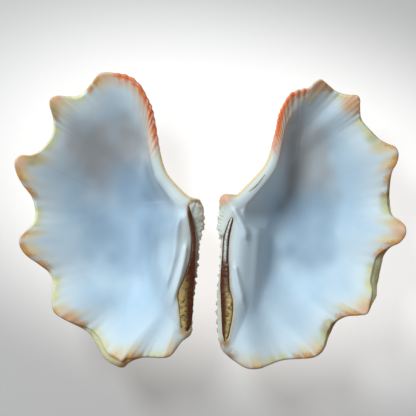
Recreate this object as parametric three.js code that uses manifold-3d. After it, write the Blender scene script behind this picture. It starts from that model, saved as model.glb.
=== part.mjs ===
// Both valves of one small giant clam, lying on their bellies with the hollow insides up.
// Millimetres, +Z up. The hinge edges face each other across the middle plane x = 0, the
// scalloped edges point away from it, and the bellies stand on z = 0.

import * as THREE from 'three';
import { mergeVertices } from 'three/addons/utils/BufferGeometryUtils.js';
import Module from 'manifold-3d';

const wasm = await Module();
wasm.setup();

// ---- Driving dimensions ----
const BEAK_ALONG = 12.15;       // the beaks' place along Y
const CAVITY_DEPTH = 38;        // from the closing plane down to the deepest inside point
const BELLY_DEPTH = 47;         // from the closing plane down to the outside of the belly
const WORN_DEPTH = 1.3;         // how much of the lowest rib crest is worn flat
const CAVITY_FLARE = 0.6;       // how much the scalloped side opens out towards its rim
const WALL_STEEPNESS = 1.05;    // how much steeper the walls under the shelves stand
const BELLY_WALL = 0.75;        // the same for the outside, below a shelf
const BELLY_FULLNESS = 0.42;    // and where there is no shelf above it
const FOLD_HEIGHT = 3;          // the folds of the inside, measured at the rim
const RIB_HEIGHT = 2.6;         // the ribs of the outside
const RIM_THICKNESS = 1.4;
const RIM_BAND = 2.5;           // the inside's last band before the rim, where there is no shelf
const SHELF_ROLL = 0.16;        // crown of a shelf, as a part of its width
const SHELF_BLEND = 7;          // rounding where the hinge plate turns into the cavity
const SHARP_BLEND = 2;          // the same along the byssal side
const SHARP_FROM = -40;         // place along the edge where the rounding starts to sharpen
const SHARP_TO = 15;            // and the place where it is sharp
const WALL_ROOM = 1.06;         // how far the bowl goes on under a shelf
const WALL_BLEND = 6;           // rounding where the wall of a shelf meets the bowl
const WALL_SPAN = 15;           // how far that wall reaches into the cavity
const SOFT_WALL = 1;            // slope of the wall below the hinge plate
const SHARP_WALL = 3.5;         // slope of the wall below the byssal side
const LIP_SLOPE = 0.9;          // fall of the outside surface that shows past the rim
const CAVITY_CENTRE = [51.5, -1.5];
const FOLD_ORIGIN = [-11, -16.4];
const FOLD_GROWTH = 2.2;        // how steadily the folds grow towards the rim
const MEAN_REACH = 78;          // mean distance from the cavity's centre to the rim
const SCALLOP_SMOOTHING = 28;   // length of edge that evens out the scallops
const CAVITY_SMOOTHING = 19;    // the same for the bowl, at its mean reach
const PLATE_SMOOTHING = 8;      // length of edge over which a shelf starts or ends
const EDGE_SOFTNESS = 1.5;      // how far along the edge a shelf's width is shared
const SAMPLES_PER_ROW = 2;      // points of the outline between two rows of an edge
const FINE_SAMPLES_PER_ROW = 12;
const SEARCH_STEP = 0.5;        // step of the search for a shelf's inner edge
const TOOTH_HEIGHT = 2.2;       // hinge teeth, above the plate they stand on
const GROOVE_DEPTH = 1.8;       // the groove that the ligament sits in
const LIGAMENT_CROWN = 0.7;     // how far the dried ligament stands out of its groove
const FIT_GAP = 0.35;           // between the ligament and its groove

// Each valve is described from its beak, which lies `beak` from the middle plane: x out to
// the scalloped edge, y along the hinge, z up from the closing plane. `belly` is the middle of
// the outside. `folds` are the directions, in degrees, of the tongues and ribs in turn, seen
// from FOLD_ORIGIN. Teeth and ligament are bars along the hinge: each row is a place and a
// width. An edge row holds the place of the outermost edge, the width of outside surface that
// shows beyond the rim there (lip), the width of the smooth shelf inside the rim (shelf) and
// the height of that shelf (rise).
const LEFT_VALVE = {
  name: 'left',
  side: -1,
  beak: 7.45,
  belly: [52, -27],
  teeth: [
    [[12.5, -7, 4], [14.5, -14, 6], [15.8, -24, 6.5], [16.4, -34, 6], [18.8, -45, 5],
      [22, -56, 4], [25.4, -65, 2.5]],
    [[8, -27, 3], [9.4, -37, 4], [12, -48, 4.4], [15.2, -59, 4.2], [18, -69, 2.6]],
  ],
  ligament: [[7.3, -2, 1.4], [4.9, -14.4, 1.6], [3.6, -25, 1.8], [4.3, -38, 2.4],
    [5.5, -46, 4.5], [7, -54, 6.5], [9, -62, 9], [8.8, -70, 8.4], [8.6, -80, 6.4],
    [9, -87, 5]],
  folds: [53, 44, 38, 32, 18, 5, -4, -19, -30, -41, -55, -63, -71],
  edge: [
    [0, 2.5, 2, 11, 0], [8, 5.7, 1.2, 9, -0.5], [19.5, 17.5, 1, 7.5, -3.5],
    [23.5, 25, 1, 7, -4.5], [26, 34.5, 1, 6.5, -5], [28, 46.5, 1, 6, -5],
    [31, 63.5, 1, 4, -3.5], [34.5, 71.5, 1, 2.5, -2.5], [38.5, 79, 1, 1.5, -1.5],
    [43.5, 84, 1, 0.5, -0.5], [49.5, 87, 1, 0, 0], [58, 88.3, 1, 0, 0],
    [64, 88.5, 1, 0, 0], [68, 87, 1, 0, 0], [73, 81.5, 1.2, 0, 0],
    [79, 75.5, 1.8, 0, 0], [85.5, 72.8, 1.8, 0, 0], [95, 73, 1, 0, 0],
    [100.3, 70.8, 0.8, 0, 0], [101.2, 66, 1, 0, 0], [99.5, 57.5, 1.5, 0, 0],
    [100, 49, 1.5, 0, 0], [103.5, 41.5, 1.2, 0, 0], [108.5, 35.5, 1, 0, 0],
    [114, 32.5, 0.8, 0, 0], [120.5, 32.3, 0.8, 0, 0], [124.5, 28, 0.8, 0, 0],
    [123.8, 21, 0.8, 0, 0], [120, 12.5, 1, 0, 0], [114.5, 4.5, 1.3, 0, 0],
    [112.3, -5, 1.6, 0, 0], [113, -13, 1.5, 0, 0], [117.5, -19, 1, 0, 0],
    [121.3, -24, 0.8, 0, 0], [121, -30, 0.8, 0, 0], [116.5, -36.3, 1, 0, 0],
    [108.5, -42.5, 1.3, 0, 0], [102, -48.5, 1.8, 0, 0], [99.8, -55, 2, 0, 0],
    [100.3, -64, 1.5, 0, 0], [98.8, -73, 1, 0, 0], [94, -77.5, 0.8, 0, 0],
    [85.5, -82.5, 1.2, 0, 0], [77.5, -87, 2.5, 0, 0], [72, -93, 3.5, 0, 0],
    [65, -105, 5, 0, 0], [58.5, -109.8, 5.5, 0, 0], [51.5, -112, 5, 0, 0],
    [46, -108, 2.5, 0, 0], [38, -105.7, 1.2, 0, 0], [24, -105.5, 1, 0, 0],
    [18, -103.3, 1, 1, 0], [11.5, -95, 1, 4, 0], [5, -89.5, 1.2, 7, 0],
    [4.2, -80, 1.5, 13, 0], [3.5, -66.5, 1.8, 22, 0], [2.5, -53, 2.2, 22, 0],
    [0.5, -37, 3.5, 18, 0], [-0.7, -25, 5, 15, 0], [-3.3, -14, 8, 14, 0],
    [-3, -5, 7, 13, 0], [-1.8, 0, 4, 12, 0],
  ],
};

const RIGHT_VALVE = {
  name: 'right',
  side: 1,
  beak: 6.95,
  belly: [52, -25],
  teeth: [
    [[7.5, -2, 3], [11.6, -10.3, 3.4], [16.5, -19, 3.6], [17.5, -26, 2.4]],
    [[8.8, -42, 2], [10.5, -49, 3], [12.5, -57, 3.2], [14.3, -66, 1.8]],
  ],
  ligament: [[7.9, -9.6, 1.4], [6, -15, 2], [3.8, -24, 3], [3, -36, 3.2], [2.8, -46, 4.4],
    [2.8, -57.5, 5.2], [4, -66.4, 7], [4.2, -75.4, 6.4], [3.6, -85, 4.4], [3, -94, 1.8]],
  folds: [52, 44.5, 40.5, 35, 21.5, 9.5, -1, -14, -28.5, -37.5, -49.5, -58.5, -72],
  edge: [
    [-1.4, 2, 3.5, 12, 0], [0.5, 5.5, 2, 11, 0], [4.5, 6.3, 1.2, 10, 0],
    [10, 5.8, 1, 9, -0.5], [18, 13.2, 1, 8, -3], [28, 24, 1, 7, -4.5],
    [32, 31.5, 1, 6.5, -5], [34.3, 39.7, 1, 6, -5], [37, 50, 1, 5, -4.5],
    [39, 60.3, 1, 4, -3.5], [42, 67.3, 1, 2.5, -2.5], [46.5, 74, 1, 1, -1],
    [52.5, 76.8, 1, 0, 0], [59, 78.2, 1, 0, 0], [63, 81.8, 1, 0, 0],
    [67, 83.6, 0.8, 0, 0], [71.5, 81, 1, 0, 0], [78, 76.5, 1.2, 0, 0],
    [85, 74, 1.2, 0, 0], [91.5, 73.2, 0.8, 0, 0], [94, 70.8, 0.8, 0, 0],
    [94.5, 65, 1, 0, 0], [96, 57.5, 1.5, 0, 0], [101.2, 50.8, 1.5, 0, 0],
    [107.2, 44, 1, 0, 0], [112.3, 40.6, 0.8, 0, 0], [117.5, 38.3, 0.8, 0, 0],
    [120, 33.5, 0.8, 0, 0], [119.2, 27.5, 0.8, 0, 0], [116.2, 20.5, 1.2, 0, 0],
    [115.3, 10, 2, 0, 0], [115.6, -3, 2, 0, 0], [117, -8.5, 1.5, 0, 0],
    [121.3, -12, 0.8, 0, 0], [124.7, -16, 0.8, 0, 0], [124.7, -22, 0.8, 0, 0],
    [121, -27, 0.8, 0, 0], [114.8, -30.7, 1.5, 0, 0], [110.8, -37, 4, 0, 0],
    [109.5, -45, 6, 0, 0], [107.2, -54.5, 6, 0, 0], [106, -63, 5, 0, 0],
    [102.3, -69, 2.5, 0, 0], [99, -75, 0.8, 0, 0], [94, -76.4, 0.8, 0, 0],
    [85.5, -77.5, 1, 0, 0], [79, -81.5, 1.5, 0, 0], [74.7, -88.7, 2.5, 0, 0],
    [69.5, -100, 2, 0, 0], [63, -104.7, 1, 0, 0], [54, -106.2, 1, 0, 0],
    [42, -107.5, 1, 0, 0], [33.5, -110, 1, 0, 0], [25, -112.6, 1, 0, 0],
    [16.5, -112.2, 1, 1, 0], [8, -107.5, 1.2, 4, 0], [2, -102.5, 1.5, 7, 0],
    [-0.8, -98, 1.5, 9, 0], [-2.2, -88, 1.2, 13, 0], [-2.7, -70, 1.2, 21, 0],
    [-2.3, -58, 1.4, 20, 0], [-0.2, -38, 1.8, 18, 0], [-0.3, -25, 3, 18, 0],
    [-2.3, -17, 5, 17, 0], [-1.8, -9, 5, 14, 0], [-1.2, -4, 4, 13, 0],
  ],
};

const CAVITY_RINGS = [0.24, 0.45, 0.63, 0.78, 0.9, 1];
const SHELF_RINGS = [0.5, 1];
const OUTSIDE_RINGS = [0.95, 0.85, 0.71, 0.54, 0.36, 0.18];

// ---- Small maths ----
const mix = (a, b, t) => a + (b - a) * t;
const square = (value) => value * value;
const smooth = (low, high, value) => THREE.MathUtils.smoothstep(value, low, high);

// A closed Catmull-Rom curve through the rows, at a place measured in rows.
function rowAt(rows, place) {
  const count = rows.length;
  const first = Math.floor(place);
  const t = place - first;
  const [a, b, c, d] = [-1, 0, 1, 2].map((step) => rows[(first + step + count) % count]);
  return b.map((value, i) => {
    const bend = 2 * a[i] - 5 * value + 4 * c[i] - d[i];
    const twist = 3 * value - a[i] - 3 * c[i] + d[i];
    return 0.5 * (2 * value + t * (c[i] - a[i] + t * (bend + t * twist)));
  });
}

// Evens out a value that runs around the edge; the steps are the lengths between samples.
function evened(values, steps, spread) {
  const count = values.length;
  return values.map((value, i) => {
    let sum = value * steps[i];
    let weight = steps[i];
    for (const turn of [-1, 1]) {
      let away = 0;
      for (let k = 1; away < 3 * spread; k += 1) {
        const at = (i + turn * k + k * count) % count;
        away += steps[at];
        const share = steps[at] * Math.exp(-0.5 * square(away / spread));
        sum += share * values[at];
        weight += share;
      }
    }
    return sum / weight;
  });
}

// The lower of two heights, with the crease between them rounded.
function softLower(a, b, rounding) {
  const overlap = Math.max(rounding - Math.abs(a - b), 0) / rounding;
  return Math.min(a, b) - square(overlap) * rounding / 4;
}

// Bowl profile: 0 at its centre, 1 at its rim, opening out or standing up with the flare.
const bowl = (reach, flare) => (1 + flare) * square(reach) - flare * square(square(reach));

// +1 on a tongue between two ribs, -1 on a rib, easing to 0 past the last folds.
function foldAt(folds, x, y) {
  const angle = THREE.MathUtils.radToDeg(Math.atan2(y - FOLD_ORIGIN[1], x - FOLD_ORIGIN[0]));
  const last = folds.length - 1;
  if (angle >= folds[0]) {
    return 1 - smooth(0, 14, angle - folds[0]);
  }
  if (angle <= folds[last]) {
    return 1 - smooth(0, 10, folds[last] - angle);
  }
  const next = folds.findIndex((fold) => fold < angle);
  const share = (folds[next - 1] - angle) / (folds[next - 1] - folds[next]);
  const wave = Math.cos(Math.PI * share);
  return next % 2 === 1 ? wave : -wave;
}

// ---- One valve ----

const edgeSamples = (valve, perRow) => {
  const count = valve.edge.length * perRow;
  return Array.from({ length: count }, (_, i) => rowAt(valve.edge, i / perRow));
};

// Depth of a place inside the rim, and the shelf's width and height on the edge nearby.
function nearEdge(valve, x, y) {
  const away = valve.fine.map((row) => Math.hypot(x - row[0], y - row[1]));
  const distance = Math.min(...away);
  const shares = away.map((value) => Math.exp((distance - value) / EDGE_SOFTNESS));
  const total = shares.reduce((sum, share) => sum + share, 0);
  const [lip, shelf, rise] = [2, 3, 4].map((column) => {
    return valve.fine.reduce((sum, row, i) => sum + shares[i] * row[column], 0) / total;
  });
  return { depth: distance - lip, shelf, rise };
}

// Distance from a centre to the inner edge of the shelf, searched from the rim inwards.
function shelfEdge(valve, centre, { way, rim }) {
  let radius = rim;
  let near = nearEdge(valve, centre[0] + way.x * radius, centre[1] + way.y * radius);
  while (near.depth < near.shelf * smooth(1, 6, near.shelf) && radius > SEARCH_STEP) {
    radius -= SEARCH_STEP;
    near = nearEdge(valve, centre[0] + way.x * radius, centre[1] + way.y * radius);
  }
  return radius;
}

// The edge as rays from a centre: direction, distance to the outermost edge and to the rim.
function raysFrom(valve, centre) {
  const samples = edgeSamples(valve, SAMPLES_PER_ROW);
  const count = samples.length;
  const rays = samples.map(([x, y, lip, shelf], i) => {
    const before = samples[(i + count - 1) % count];
    const after = samples[(i + 1) % count];
    const along = new THREE.Vector2(after[0] - before[0], after[1] - before[1]);
    const step = along.length() / 2;
    along.normalize();
    const way = new THREE.Vector2(x - centre[0], y - centre[1]);
    const outer = way.length();
    way.divideScalar(outer);
    const rim = outer - lip / Math.max(Math.abs(way.cross(along)), 0.45);
    const sharp = smooth(SHARP_FROM, SHARP_TO, y);
    return { way, outer, rim, lip, step, sharp, plate: smooth(1, 6, shelf) };
  });
  const steps = rays.map((ray) => ray.step);
  const turns = rays.map((ray, i) => {
    return MEAN_REACH * Math.acos(Math.min(ray.way.dot(rays[(i + 1) % count].way), 1));
  });
  const inner = rays.map((ray) => shelfEdge(valve, centre, ray));
  const insides = evened(inner, turns, CAVITY_SMOOTHING);
  const outsides = evened(rays.map((ray) => ray.outer), steps, SCALLOP_SMOOTHING);
  const walls = evened(rays.map((ray) => ray.plate * ray.sharp), steps, SCALLOP_SMOOTHING);
  const plates = evened(rays.map((ray) => ray.plate), steps, PLATE_SMOOTHING);
  const bands = rays.map((ray, i) => Math.max(ray.rim - inner[i], RIM_BAND));
  const evenBands = evened(bands, steps, PLATE_SMOOTHING);
  rays.forEach((ray, i) => {
    ray.band = evenBands[i];
    ray.insideReach = insides[i] * mix(1, WALL_ROOM, walls[i]);
    ray.outsideReach = outsides[i];
    ray.steepness = WALL_STEEPNESS * walls[i];
    ray.fullness = mix(BELLY_FULLNESS, BELLY_WALL, walls[i]);
    ray.plate = plates[i];
    ray.blend = mix(SHELF_BLEND, SHARP_BLEND, ray.sharp);
    ray.wallSlope = mix(SOFT_WALL, SHARP_WALL, ray.sharp);
  });
  return rays;
}

function insideHeight(valve, ray, radius) {
  const x = CAVITY_CENTRE[0] + ray.way.x * radius;
  const y = CAVITY_CENTRE[1] + ray.way.y * radius;
  const near = smooth(0, 0.6, radius / ray.insideReach);
  const reach = radius / mix(MEAN_REACH, ray.insideReach, near);
  const flare = near * (CAVITY_FLARE - ray.steepness);
  const cavity = -CAVITY_DEPTH * (1 - bowl(reach, flare));
  const fold = FOLD_HEIGHT * foldAt(valve.folds, x, y) * Math.pow(radius / ray.rim, FOLD_GROWTH);
  const { depth, shelf, rise } = nearEdge(valve, x, y);
  const width = Math.max(shelf, 1);
  const across = THREE.MathUtils.clamp(2 * depth / width - 1, -1, 1);
  const crown = rise + SHELF_ROLL * width * (1 - square(across));
  const pastShelf = depth - width;
  const wall = rise - ray.wallSlope * pastShelf;
  const walled = -softLower(-cavity, -wall, WALL_BLEND);
  const beside = smooth(0.2 * WALL_SPAN, WALL_SPAN, pastShelf);
  const shelved = softLower(mix(walled, cavity, beside), crown, ray.blend);
  return mix(cavity + fold, shelved, ray.plate);
}

function outsideHeight(valve, ray, share, edgeHeight) {
  const radius = share * ray.outer;
  const x = valve.belly[0] + ray.way.x * radius;
  const y = valve.belly[1] + ray.way.y * radius;
  const near = smooth(0, 0.35, share);
  const profile = (reach) => -BELLY_DEPTH * (1 - bowl(reach, -ray.fullness * near));
  const shell = profile(radius / mix(MEAN_REACH, ray.outsideReach, near));
  const toEdge = (edgeHeight - profile(ray.outer / ray.outsideReach)) * Math.pow(share, 8);
  const fromBeak = Math.hypot(x - FOLD_ORIGIN[0], y - FOLD_ORIGIN[1]);
  const strength = smooth(15, 50, fromBeak) * (1 - Math.pow(share, 12));
  const ribs = RIB_HEIGHT * foldAt(valve.folds, x, y) * strength;
  return shell + toEdge + ribs;
}

// Closed grid of rings, from the middle of the inside over the rim to the middle of the belly.
function valveGeometry(valve) {
  valve.fine = edgeSamples(valve, FINE_SAMPLES_PER_ROW);
  const inside = raysFrom(valve, CAVITY_CENTRE);
  const outside = raysFrom(valve, valve.belly);
  const place = (centre, ray, radius, height) => [
    valve.side * (valve.beak + centre[0] + ray.way.x * radius),
    BEAK_ALONG + centre[1] + ray.way.y * radius,
    height,
  ];
  const edgeHeights = inside.map(
    (ray) => insideHeight(valve, ray, ray.rim) - RIM_THICKNESS - LIP_SLOPE * ray.lip);
  const rings = [];
  for (const share of CAVITY_RINGS) {
    rings.push(inside.map((ray) => {
      const radius = share * (ray.rim - ray.band);
      return place(CAVITY_CENTRE, ray, radius, insideHeight(valve, ray, radius));
    }));
  }
  for (const share of SHELF_RINGS) {
    rings.push(inside.map((ray) => {
      const radius = ray.rim - ray.band * (1 - share);
      return place(CAVITY_CENTRE, ray, radius, insideHeight(valve, ray, radius));
    }));
  }
  rings.push(inside.map((ray, i) => place(CAVITY_CENTRE, ray, ray.outer, edgeHeights[i])));
  for (const share of OUTSIDE_RINGS) {
    rings.push(outside.map((ray, i) => {
      const height = outsideHeight(valve, ray, share, edgeHeights[i]);
      return place(valve.belly, ray, share * ray.outer, height);
    }));
  }
  const top = place(CAVITY_CENTRE, inside[0], 0, insideHeight(valve, inside[0], 0));
  const bottom = place(valve.belly, outside[0], 0, outsideHeight(valve, outside[0], 0, 0));
  const lowest = Math.min(bottom[2], ...rings.flat().map((point) => point[2]));
  const geometry = closedRings(rings, top, bottom, valve.side > 0);
  return geometry.translate(0, 0, -lowest - WORN_DEPTH);
}

// Joins rings of equal length and two end points into one closed skin.
function closedRings(rings, first, last, clockwise) {
  const count = rings[0].length;
  const points = [first, ...rings.flat(), last];
  const faces = [];
  const at = (ring, i) => 1 + ring * count + (i % count);
  for (let i = 0; i < count; i += 1) {
    faces.push([0, at(0, i + 1), at(0, i)]);
    for (let ring = 0; ring < rings.length - 1; ring += 1) {
      faces.push([at(ring, i), at(ring, i + 1), at(ring + 1, i)]);
      faces.push([at(ring, i + 1), at(ring + 1, i + 1), at(ring + 1, i)]);
    }
    faces.push([at(rings.length - 1, i), at(rings.length - 1, i + 1), points.length - 1]);
  }
  const geometry = new THREE.BufferGeometry();
  geometry.setAttribute('position', new THREE.Float32BufferAttribute(points.flat(), 3));
  geometry.setIndex(faces.flatMap((face) => (clockwise ? face : [...face].reverse())));
  return geometry;
}

// ---- Bars on the hinge plate: teeth, groove and ligament ----

// Height of a valve's upper surface at a place given from its beak.
function surfaceHeight(valve, mesh, x, y) {
  const from = new THREE.Vector3(valve.side * (valve.beak + x), BEAK_ALONG + y, 200);
  const [hit] = new THREE.Raycaster(from, new THREE.Vector3(0, 0, -1)).intersectObject(mesh);
  return hit.point.z;
}

// A closed bar along a row of places, its section a box with bevelled upper edges.
function barGeometry(valve, mesh, rows, { widen, low, high, bevel }) {
  const rings = rows.map(([x, y, width], i) => {
    const before = rows[Math.max(i - 1, 0)];
    const after = rows[Math.min(i + 1, rows.length - 1)];
    const across = new THREE.Vector2(after[1] - before[1], before[0] - after[0]).normalize();
    const base = surfaceHeight(valve, mesh, x, y);
    const half = width / 2 + widen;
    const shoulder = half * (1 - bevel);
    const section = [
      [-half, low], [-half, mix(low, high, 0.6)], [-shoulder, high],
      [shoulder, high], [half, mix(low, high, 0.6)], [half, low],
    ];
    return section.map(([offset, height]) => [
      valve.side * (valve.beak + x + across.x * offset),
      BEAK_ALONG + y + across.y * offset,
      base + height,
    ]);
  });
  const middle = (ring) => [0, 1, 2].map((axis) => {
    return ring.reduce((sum, point) => sum + point[axis], 0) / ring.length;
  });
  return closedRings(rings, middle(rings[0]), middle(rings.at(-1)), valve.side > 0);
}

function solid(geometry) {
  geometry.deleteAttribute('normal');
  geometry.deleteAttribute('uv');
  const merged = mergeVertices(geometry);
  return new wasm.Manifold(new wasm.Mesh({
    numProp: 3,
    vertProperties: new Float32Array(merged.attributes.position.array),
    triVerts: new Uint32Array(merged.index.array),
  }));
}

function geometryOf(body) {
  const { vertProperties, triVerts } = body.getMesh();
  const geometry = new THREE.BufferGeometry();
  geometry.setAttribute('position', new THREE.Float32BufferAttribute(vertProperties, 3));
  geometry.setIndex(new THREE.Uint32BufferAttribute(triVerts, 1));
  return geometry;
}

// ---- The part ----

const shell = new THREE.Group();

function addMesh(name, geometry, material) {
  const mesh = new THREE.Mesh(geometry, material);
  mesh.name = name;
  shell.add(mesh);
}

const ground = solid(new THREE.BoxGeometry(400, 400, 20).translate(0, 0, -10));

for (const valve of [LEFT_VALVE, RIGHT_VALVE]) {
  const blank = new THREE.Mesh(valveGeometry(valve));
  const bar = (rows, shape) => barGeometry(valve, blank, rows, shape);
  const tooth = { widen: 0, low: -TOOTH_HEIGHT, high: TOOTH_HEIGHT, bevel: 0.5 };
  const groove = { widen: FIT_GAP, low: -GROOVE_DEPTH, high: 6, bevel: 0 };
  const filling = { widen: 0, low: FIT_GAP - GROOVE_DEPTH, high: LIGAMENT_CROWN, bevel: 0.35 };
  let body = solid(blank.geometry).subtract(ground);
  body = body.subtract(solid(bar(valve.ligament, groove)));
  for (const rows of valve.teeth) {
    body = body.add(solid(bar(rows, tooth)));
  }
  addMesh(`${valve.name}_valve`, geometryOf(body), new THREE.MeshStandardMaterial({
    color: 0xe9eef2, roughness: 0.35, metalness: 0,
  }));
  addMesh(`${valve.name}_ligament`, bar(valve.ligament, filling), new THREE.MeshStandardMaterial({
    color: 0x3a1c10, roughness: 0.4, metalness: 0,
  }));
}

export default shell;
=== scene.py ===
"""Giant clam shell: both valves lie open on their bellies, the torn dark ligament in their hinges.

Lengths in the shape data are millimetres, in each valve's own frame: x out from the beak to the
scalloped edge, y along the hinge, z up from the closing plane. Everything in Blender is in metres.
"""

import math

import bpy
import numpy as np
from bpy.props import FloatProperty, FloatVectorProperty, IntProperty, PointerProperty
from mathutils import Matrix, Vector


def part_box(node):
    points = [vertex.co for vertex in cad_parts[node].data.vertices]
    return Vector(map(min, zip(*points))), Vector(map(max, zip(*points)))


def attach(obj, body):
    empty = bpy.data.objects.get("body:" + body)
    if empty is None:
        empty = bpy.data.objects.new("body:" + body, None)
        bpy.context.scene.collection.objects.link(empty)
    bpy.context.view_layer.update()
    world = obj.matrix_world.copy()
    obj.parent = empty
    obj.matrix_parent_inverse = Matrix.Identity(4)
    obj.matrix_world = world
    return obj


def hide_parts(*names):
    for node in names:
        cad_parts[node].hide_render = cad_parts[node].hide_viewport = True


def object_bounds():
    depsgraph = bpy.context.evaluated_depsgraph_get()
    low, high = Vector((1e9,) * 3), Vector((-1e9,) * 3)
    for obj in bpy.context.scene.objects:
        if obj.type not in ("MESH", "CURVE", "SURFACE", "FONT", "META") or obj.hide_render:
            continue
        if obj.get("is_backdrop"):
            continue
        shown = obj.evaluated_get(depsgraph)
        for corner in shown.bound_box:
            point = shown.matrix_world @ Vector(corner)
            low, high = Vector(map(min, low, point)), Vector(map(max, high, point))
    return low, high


bl_info = {
    "name": "Giant Clam Shell",
    "version": (1, 0, 0),
    "blender": (4, 5, 0),
    "location": "View3D > Sidebar > Clam Shell",
    "description": "Models the two valves of a small giant clam with their dried ligament",
    "category": "Add Mesh",
}

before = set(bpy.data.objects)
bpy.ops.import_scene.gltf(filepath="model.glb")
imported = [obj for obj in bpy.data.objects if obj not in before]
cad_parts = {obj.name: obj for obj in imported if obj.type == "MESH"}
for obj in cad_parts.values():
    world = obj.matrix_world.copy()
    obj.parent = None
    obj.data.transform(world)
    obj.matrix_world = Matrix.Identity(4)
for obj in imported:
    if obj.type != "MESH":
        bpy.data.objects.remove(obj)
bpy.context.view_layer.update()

MM = 0.001

# ---- Driving dimensions, nearly all the same as the solid model's ----
BEAK_ALONG = 12.15      # the beaks' place along Y
CAVITY_DEPTH = 38
BELLY_DEPTH = 47
WORN_DEPTH = 1.3        # how much of the lowest rib crest is worn flat
CAVITY_FLARE = 0.6
WALL_STEEPNESS = 1.05
BELLY_FULLNESS = 0.42
BELLY_WALL = 0.75
RIM_THICKNESS = 1.4
SHELF_WIDTHS = (1, 6)   # from no shelf to a full one
SHELF_ROLL = 0.16       # crown of a shelf, as a part of its width
SHELF_BLEND = 7         # rounding where a shelf turns into the bowl, along the hinge
SHARP_BLEND = 2         # the same along the byssal side
SHARP_FROM = -40        # places along the edge between which it sharpens
SHARP_TO = 15
WALL_ROOM = 1.06        # how far the bowl goes on under a shelf
WALL_BLEND = 6
WALL_SPAN = 15
SOFT_WALL = 1.0         # slopes of the wall below a shelf
SHARP_WALL = 3.5
EDGE_SOFTNESS = 1.5
LIP_SLOPE = 0.6
CAVITY_CENTRE = (51.5, -1.5)
FOLD_ORIGIN = (-11, -16.4)
FOLD_GROWTH = 2.2       # how steadily the folds grow towards the rim
BROAD_FOLD = 10         # degrees from which a fold has its full height
FOLD_EASE = (14, 10)    # degrees past the first and last fold in which they flatten out
RIBS_GROW = (15, 50)    # distance from FOLD_ORIGIN over which the ribs grow
MEAN_REACH = 78
SCALLOP_SMOOTHING = 28
CAVITY_SMOOTHING = 19
PLATE_SMOOTHING = 8
GROOVE_DEPTH = 1.8
GROOVE_SHOULDER = 0.6   # how far its rounded edge reaches on each side
FIT_GAP = 0.35          # below the ligament in its groove
LIGAMENT_CROWN = 0.7
LIGAMENT_SPREAD = 0.4   # over the edges of its groove

# ---- The finely toothed margin and the outside ----
TOOTH_BULGE = 0.6       # how far the margin's teeth stand out, as a part of their height
MARGIN_CROWDING = 0.8   # extra points there
PLEAT_SPEED = 7         # half waves of the pleats to one of the folds
PLEAT_REACH = 6         # how far in from the rim the pleats and teeth fade
TOOTH_REACH = 4.5
GROWTH_START = (2.5, -4)
STEP_CREST = 0.82       # where a growth step is highest, as a share of its length
STEP_HEIGHT = 0.35
RIBLETS = 5             # half waves of the riblets to one of the folds
RIBLET_HEIGHT = 0.22
ROUGHNESS = 0.35
DENT_DEPTH = 0.5

# ---- How fine the skin is ----
AROUND = 720            # points in each ring
INSIDE_FINE = 31        # rings in the outer part of the inside, which holds the hinge
INSIDE_COARSE = 20
FINE_FROM = 0.66        # where that outer part begins, as a share of the way to the rim
RIM_RINGS = 8
OUTSIDE_RINGS = 76
NEARBY = 2              # around the ligament, where the hinge plate is looked at
PLATE_GRAIN = 0.7       # over which its height is evened out there
TINY = 1e-12            # keeps a sum of weights above zero
LIGAMENT_STEPS = 200
LIGAMENT_SIDES = 24
ROW_STEPS = 24          # places measured between two rows of an edge
SHELF_SEARCH = 96       # places tried on each way out for the inner edge of a shelf
SEARCH_FROM = 0.2       # the first of them, as a share of the way to the rim
LEAST_FACING = 0.45     # keeps a lip that is seen along its length from growing too wide
NOISE_CELLS = 32

# ---- Stage, in metres ----
FLOOR_SIZE = 6
GLOW_MIDDLE = (0.031, 0.018, 0)
GLOW_TURN = math.radians(-12)
GLOW_STRETCH = 1.85
GLOW_REACH = (0.07, 0.17)  # where the floor's glow starts and ends to fade
DIM_GLOW = 0.27         # what is left of it beyond
KEY_SIZE = 0.45
KEY_PLACE = (-0.5, 0.62, 0.93)  # from the middle of the shell
CAMERA_PLACE = (-0.0015, 0.0087)
RIMS_BELOW_TOP = 0.014

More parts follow.
